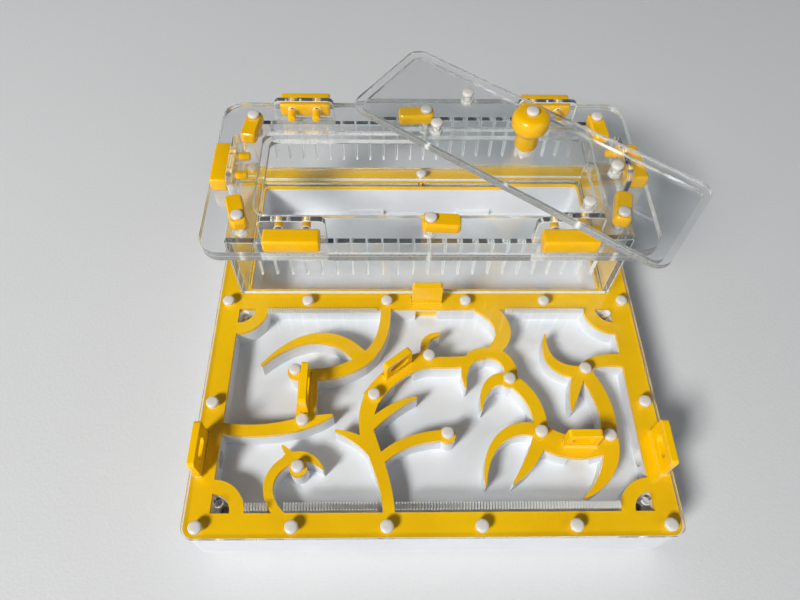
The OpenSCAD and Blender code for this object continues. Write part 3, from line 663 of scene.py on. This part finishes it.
def nuts(node):
    """Hexagonal nuts with chamfered corners and a bore, in place of a CAD node's plain ones."""
    bm = bmesh.new()
    for low, high, turn, radius in solids_of(node):
        centre = (low + high) / 2
        flat = radius * math.cos(math.pi / 6)
        rim = flat * 0.95  # where a face meets its chamfer
        rings = []
        for r, z in ((BORE, low.z + NUT_CUT), (BORE + NUT_CUT, low.z), (rim, low.z),
                     (radius, low.z + NUT_CUT), (radius, high.z - NUT_CUT), (rim, high.z),
                     (BORE + NUT_CUT, high.z), (BORE, high.z - NUT_CUT)):
            ring = []
            for i in range(NUT_STEPS):
                a = 2 * math.pi * i / NUT_STEPS
                b = a % (math.pi / 3) - math.pi / 6
                reach = min(r, flat / math.cos(b))
                ring.append(bm.verts.new((centre.x + reach * math.cos(turn + a),
                                          centre.y + reach * math.sin(turn + a), z)))
            rings.append(ring)
        for one, two in zip(rings, rings[1:] + rings[:1]):
            band(bm, one, two)
    piece = add_piece(node + "_hex", finished_mesh(node + "_hex", bm),
                      material_for(node), BODY_OF[node])
    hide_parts(node)


def finished_mesh(name, bm, angle=SHARP):
    """A mesh from bm with outward normals, smooth faces and sharp edges above an angle."""
    bmesh.ops.recalc_face_normals(bm, faces=bm.faces)
    mesh = bpy.data.meshes.new(name)
    bm.to_mesh(mesh)
    bm.free()
    for face in mesh.polygons:
        face.use_smooth = True
    mesh.set_sharp_from_angle(angle=angle)
    return mesh


def joined_copy(name, nodes):
    """One mesh from the exact union of several CAD nodes that touch."""
    base = None
    for node in nodes:
        bm = placed(node)
        mesh = bpy.data.meshes.new(node + "_copy")
        bm.to_mesh(mesh)
        bm.free()
        part = bpy.data.objects.new(node + "_copy", mesh)
        bpy.context.scene.collection.objects.link(part)
        if base is None:
            base = part
            continue
        union = base.modifiers.new("union", "BOOLEAN")
        union.operation = "UNION"
        union.solver = "EXACT"
        union.object = part
        done = base.evaluated_get(bpy.context.evaluated_depsgraph_get())
        joined = bpy.data.meshes.new_from_object(done)
        base.modifiers.clear()
        base.data = joined
        bpy.data.objects.remove(part)
    mesh = base.data
    mesh.name = name
    bpy.data.objects.remove(base)
    for attribute in [a for a in mesh.attributes if a.name == "custom_normal"]:
        mesh.attributes.remove(attribute)
    return mesh


def peg(bm, root, tip, radius):
    """A round peg from root to tip with a small rounded tip."""
    way = (tip - root).normalized()
    across = way.cross(Vector((0, 0, 1))).normalized()
    up = across.cross(way)
    length = (tip - root).length
    turns = [2 * math.pi * i / PEG_STEPS for i in range(PEG_STEPS)]
    loops = []
    for r, along in [(radius, 0)] + [(radius - inset, length - back) for inset, back in PEG_TIP]:
        loops.append([bm.verts.new(root + way * along
                                   + (across * math.cos(t) + up * math.sin(t)) * r)
                      for t in turns])
    for one, two in zip(loops, loops[1:]):
        band(bm, one, two)
    bm.faces.new(loops[0][::-1])
    bm.faces.new(loops[-1])


def latch_place(node):
    """A latch's pivot, level with the origin, and the turn of its arm."""
    joint = next(row for row in frame["record"]["behaviour"]["joints"]
                 if row["name"] == node + "_turn")
    pivot = Vector((joint["pos_m"][0], joint["pos_m"][1], 0))
    low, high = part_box(node)
    middle = Vector(((low[0] + high[0]) / 2, (low[1] + high[1]) / 2, 0))
    return pivot, math.atan2(middle.y - pivot.y, middle.x - pivot.x)


def latch_outline(sizes, pivot, turn, inset, z):
    """The rounded outline of a latch at height z, drawn in by inset."""
    a, b = -sizes.latch_heel + inset, sizes.latch_length - sizes.latch_heel - inset
    w = sizes.latch_width / 2 - inset
    r = max(sizes.latch_corner - inset, 0.4 * MM)
    spin = Matrix.Rotation(turn, 3, "Z")
    points = []
    for cx, cy, start in ((b - r, w - r, 0), (a + r, w - r, 1),
                          (a + r, r - w, 2), (b - r, r - w, 3)):
        for k in range(LATCH_STEPS + 1):
            t = math.pi / 2 * (start + k / LATCH_STEPS)
            points.append(spin @ Vector((cx + r * math.cos(t), cy + r * math.sin(t), 0)) + pivot
                          + Vector((0, 0, z)))
    return points


# ---- operators, one for each piece or group of like pieces ----

class HABITAT_OT_body(bpy.types.Operator):
    """Joins the walls and floors into the one white body"""
    bl_idname = "habitat.body"
    bl_label = "White body"

    def execute(self, context):
        sizes = context.scene.habitat_sizes
        mesh = joined_copy("white_shell", BODY_PARTS)
        piece = add_piece("white_shell", mesh, material_for("body_front"), BODY_OF["body_front"])
        soften(piece, sizes.body_edge)
        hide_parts(*BODY_PARTS)
        dress(["base_plate"], sizes.body_edge)
        dress(WALLS, 0)
        return {"FINISHED"}


class HABITAT_OT_caps(bpy.types.Operator):
    """Finishes the yellow sheets on the border and the nest walls"""
    bl_idname = "habitat.caps"
    bl_label = "Yellow caps"

    def execute(self, context):
        dress(CAPS, 0)
        return {"FINISHED"}


class HABITAT_OT_sheets(bpy.types.Operator):
    """Finishes the clear cover, the box walls, the rim and the lid"""
    bl_idname = "habitat.sheets"
    bl_label = "Clear sheets"

    def execute(self, context):
        dress(FLAT_SHEETS + LONG_SHEETS + SHORT_SHEETS, context.scene.habitat_sizes.edge)
        return {"FINISHED"}


class HABITAT_OT_gates(bpy.types.Operator):
    """Finishes the sliding gates"""
    bl_idname = "habitat.gates"
    bl_label = "Gates"

    def execute(self, context):
        dress(GATES, context.scene.habitat_sizes.edge * GATE_EDGE_SHARE, 3)
        return {"FINISHED"}


class HABITAT_OT_keys(bpy.types.Operator):
    """Makes the pull keys with their rounded blocks and two pegs"""
    bl_idname = "habitat.keys"
    bl_label = "Pull keys"

    def execute(self, context):
        sizes = context.scene.habitat_sizes
        for node in KEYS:
            low, high = (Vector(corner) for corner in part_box(node))
            out = OUTWARD[node.split("_")[1]]
            long_axis = 0 if out.y else 1
            deep = 1 - long_axis
            near, far = (low, high) if out[deep] < 0 else (high, low)
            a, b = low.copy(), high.copy()
            face = near[deep] - out[deep] * sizes.key_depth
            a[deep], b[deep] = min(near[deep], face), max(near[deep], face)
            bm = bmesh.new()
            bmesh.ops.create_cube(bm, size=1)
            bmesh.ops.scale(bm, vec=b - a, verts=bm.verts)
            bmesh.ops.translate(bm, vec=(a + b) / 2, verts=bm.verts)
            bmesh.ops.bevel(bm, geom=list(bm.edges), offset=sizes.block_edge, segments=4,
                            profile=0.55, affect="EDGES", clamp_overlap=True)
            middle = (a + b) / 2
            top = high.z - PEG_DROP - sizes.peg / 2
            for side in (-1, 1):
                root = middle.copy()
                root[long_axis] += side * sizes.peg_gap / 2
                root[deep], root.z = face + out[deep] * PEG_ROOT, top
                tip = root.copy()
                tip[deep] = far[deep]
                peg(bm, root, tip, sizes.peg / 2)
            piece = add_piece(node + "_block", finished_mesh(node + "_block", bm, BLOCK_SHARP),
                              material_for(node), BODY_OF[node])
            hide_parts(node)
        return {"FINISHED"}


class HABITAT_OT_latches(bpy.types.Operator):
    """Makes the swivel latches with sloped flanks, cut corners and a bored pivot"""
    bl_idname = "habitat.latches"
    bl_label = "Swivel latches"

    def execute(self, context):
        sizes = context.scene.habitat_sizes
        for node in LATCHES:
            low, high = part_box(node)
            pivot, turn = latch_place(node)
            tall = high[2] - low[2]
            bm = bmesh.new()
            rings = [latch_outline(sizes, pivot, turn, inset * MM, low[2] + tall * share)
                     for inset, share in LATCH_LEVELS]
            turns = [math.atan2(co.y - pivot.y, co.x - pivot.x) for co in rings[0]]
            rings += [[pivot + Vector((math.cos(t), math.sin(t), 0)) * LATCH_BORE
                       + Vector((0, 0, z)) for t in turns] for z in (high[2], low[2])]
            loops = [[bm.verts.new(co) for co in ring] for ring in rings]
            for one, two in zip(loops, loops[1:] + loops[:1]):
                band(bm, one, two)
            piece = add_piece(node + "_pad", finished_mesh(node + "_pad", bm, BLOCK_SHARP),
                              material_for(node), BODY_OF[node])
            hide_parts(node)
        return {"FINISHED"}


class HABITAT_OT_screws(bpy.types.Operator):
    """Makes the domed nylon screws"""
    bl_idname = "habitat.screws"
    bl_label = "Nylon screws"

    def execute(self, context):
        for node in ("border_screws", "nest_screws", "latch_screws", "lid_screws", "knob_screw"):
            screws(node)
        return {"FINISHED"}


class HABITAT_OT_nuts(bpy.types.Operator):
    """Makes the nuts and finishes the washers"""
    bl_idname = "habitat.nuts"
    bl_label = "Nuts and washers"

    def execute(self, context):
        nuts("latch_nuts")
        nuts("lid_nuts")
        dress(["latch_washers"], WASHER_EDGE)
        return {"FINISHED"}


class HABITAT_OT_knob(bpy.types.Operator):
    """Turns the lid's knob: a flat-topped crown on a cone and a stem, with a bore"""
    bl_idname = "habitat.knob"
    bl_label = "Lid knob"

    def execute(self, context):
        sizes = context.scene.habitat_sizes
        low, high = (Vector(corner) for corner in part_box("knob"))
        tall, crown, stem = high.z - low.z, (high.x - low.x) / 2, sizes.stem / 2
        profile = [(BORE, 0.0)]
        profile += [(stem - inset * MM, share) for inset, share in STEM_PROFILE]
        profile += [(crown - inset * MM, share) for inset, share in CROWN_PROFILE]
        profile += [(BORE, 1.0), (BORE, 0.0)]
        bm = bmesh.new()
        lathe(bm, (low + high) / 2, [(r, low.z + tall * share) for r, share in profile],
              sizes.round_steps * 2)
        bmesh.ops.remove_doubles(bm, verts=bm.verts, dist=WELD)
        piece = add_piece("knob_turned", finished_mesh("knob_turned", bm, BLOCK_SHARP),
                          material_for("knob"), BODY_OF["knob"])
        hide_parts("knob")
        return {"FINISHED"}


class HABITAT_OT_sponge(bpy.types.Operator):
    """Finishes the sponge under the nest floor"""
    bl_idname = "habitat.sponge"
    bl_label = "Sponge"

    def execute(self, context):
        dress(["sponge"], SPONGE_EDGE)
        return {"FINISHED"}


class HABITAT_OT_stage(bpy.types.Operator):
    """Sets the floor, the soft light and the camera"""
    bl_idname = "habitat.stage"
    bl_label = "Studio"

    def execute(self, context):
        scene = context.scene
        self.floor(scene)
        self.sky(scene)
        for row in LAMPS:
            self.lamp(scene, *row)
        self.camera(scene)
        scene.view_settings.view_transform = "Standard"
        scene.cycles.max_bounces = 20
        scene.cycles.transmission_bounces = 18
        scene.cycles.transparent_max_bounces = 24
        scene.cycles.diffuse_bounces = 4
        return {"FINISHED"}

    def floor(self, scene):
        """A plain round floor, just below the habitat."""
        colour = scene.habitat_colours.floor
        f = Finish("studio_floor")
        cloud = f.noise(3, 3, 0.5)
        base = f.mix(cloud.over(0.3, 0.7), shade(colour, 0.985), shade(colour, 1.01))
        grain = f.bump(f.noise(600), 0.1 * MM)
        bm = bmesh.new()
        bmesh.ops.create_circle(bm, cap_ends=True, segments=96,
                                radius=scene.habitat_sizes.floor_reach)
        mesh = bpy.data.meshes.new("studio_floor")
        bm.to_mesh(mesh)
        bm.free()
        floor = bpy.data.objects.new("studio_floor", mesh)
        floor.location.z = FLOOR_LEVEL
        scene.collection.objects.link(floor)
        wear(floor, f.done(f.principled(Base_Color=base, Roughness=0.7, Normal=grain)))

    def sky(self, scene):
        """A pale ring of light that darkens overhead."""
        scene.world = bpy.data.worlds.new("studio")
        scene.world.use_nodes = True
        s = Nodes(scene.world.node_tree)
        height = s.node("SeparateXYZ", None, {0: s.node("TexCoord")["Generated"]})["Z"]
        stops = [(at, tuple(grey * c for c in SKY_TINT) + (1,)) for at, grey in SKY_STOPS]
        colour = s.node("ValToRGB", {"ramp": ("EASE", stops)}, {0: height})["Color"]
        light = s.node("Background", None, {"Color": colour})["Background"]
        s.node("OutputWorld", None, {"Surface": light})

    def lamp(self, scene, name, place, aim, size, power, colour):
        """A round soft lamp that shines at a point."""
        data = bpy.data.lights.new(name, "AREA")
        data.shape = "DISK"
        data.size = size
        data.energy = power
        data.color = colour
        lamp = bpy.data.objects.new(name, data)
        lamp.location = place
        lamp.rotation_euler = (Vector(aim) - Vector(place)).to_track_quat("-Z", "Y").to_euler()
        scene.collection.objects.link(lamp)

    def camera(self, scene):
        """The camera that sees the habitat as the photograph does."""
        data = bpy.data.cameras.new("camera")
        data.lens = scene.habitat_sizes.focal
        data.sensor_width = CAMERA_SENSOR
        data.clip_start = CAMERA_NEAR
        camera = bpy.data.objects.new("camera", data)
        sin, cos = math.sin, math.cos
        ahead = Vector((sin(CAMERA_YAW) * cos(CAMERA_PITCH), cos(CAMERA_YAW) * cos(CAMERA_PITCH),
                        -sin(CAMERA_PITCH)))
        level = Vector((cos(CAMERA_YAW), -sin(CAMERA_YAW), 0))
        upward = level.cross(ahead)
        right = level * cos(CAMERA_ROLL) + upward * sin(CAMERA_ROLL)
        top = upward * cos(CAMERA_ROLL) - level * sin(CAMERA_ROLL)
        turn = Matrix((right, top, -ahead)).transposed().to_4x4()
        camera.matrix_world = Matrix.Translation(CAMERA_PLACE) @ turn
        scene.collection.objects.link(camera)
        scene.camera = camera


class HABITAT_PT_panel(bpy.types.Panel):
    """Sizes, colours and building steps of the ant habitat"""
    bl_idname = "HABITAT_PT_panel"
    bl_label = "Ant habitat"
    bl_space_type = "VIEW_3D"
    bl_region_type = "UI"
    bl_category = "Habitat"

    def draw(self, context):
        for group in (context.scene.habitat_sizes, context.scene.habitat_colours):
            box = self.layout.box()
            for name in group.__annotations__:
                box.prop(group, name)
        for step in STEPS:
            self.layout.operator(step.bl_idname)


STEPS = (HABITAT_OT_body, HABITAT_OT_caps, HABITAT_OT_sheets, HABITAT_OT_gates,
         HABITAT_OT_keys, HABITAT_OT_latches, HABITAT_OT_screws, HABITAT_OT_nuts,
         HABITAT_OT_knob, HABITAT_OT_sponge, HABITAT_OT_stage)
CLASSES = (HabitatSizes, HabitatColours) + STEPS + (HABITAT_PT_panel,)


def register():
    """Adds the classes and their settings."""
    for cls in CLASSES:
        bpy.utils.register_class(cls)
    bpy.types.Scene.habitat_sizes = PointerProperty(type=HabitatSizes)
    bpy.types.Scene.habitat_colours = PointerProperty(type=HabitatColours)


def unregister():
    """Takes them away again."""
    del bpy.types.Scene.habitat_colours
    del bpy.types.Scene.habitat_sizes
    for cls in reversed(CLASSES):
        bpy.utils.unregister_class(cls)


def main():
    """Builds every piece in order."""
    register()
    for step in STEPS:
        group, name = step.bl_idname.split(".")
        getattr(getattr(bpy.ops, group), name)()


if __name__ == "__main__":
    main()
